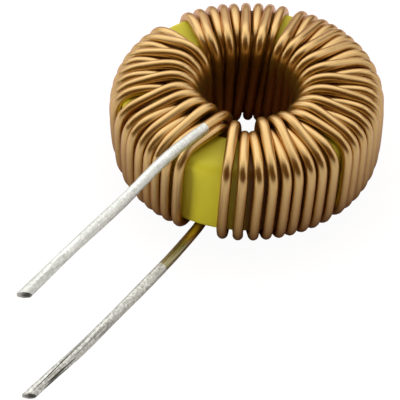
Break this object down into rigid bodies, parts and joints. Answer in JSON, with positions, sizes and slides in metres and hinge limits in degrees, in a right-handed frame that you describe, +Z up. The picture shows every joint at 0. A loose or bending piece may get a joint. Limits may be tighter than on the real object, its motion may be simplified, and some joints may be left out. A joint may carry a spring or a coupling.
{
  "type": "toroidal inductor",
  "caption": "Toroidal choke: a yellow-coated powder ring wound with enamelled copper wire in nested layers, its tinned ends leaving along one side as solder pins.",
  "frame": {"origin": "on the ring's axis, in the plane that the lowest turns rest on", "axes": "+Z up along the ring's axis, -Y the way both wire ends leave, +X to the right of them"},
  "size_m": [0.026, 0.0491, 0.0125],
  "materials": {
    "core_coating": "olive-yellow epoxy coat on pressed iron powder, satin, faintly mottled",
    "enamelled_wire": "copper under clear amber enamel, golden tan, satin sheen",
    "tinned_wire": "dipped tin solder over bare copper, frosty silver, slightly mottled"
  },
  "bodies": {
    "root": {"core": "core_coating", "winding": "enamelled_wire", "start_lead": "tinned_wire", "finish_lead": "tinned_wire"}
  },
  "joints": []
}
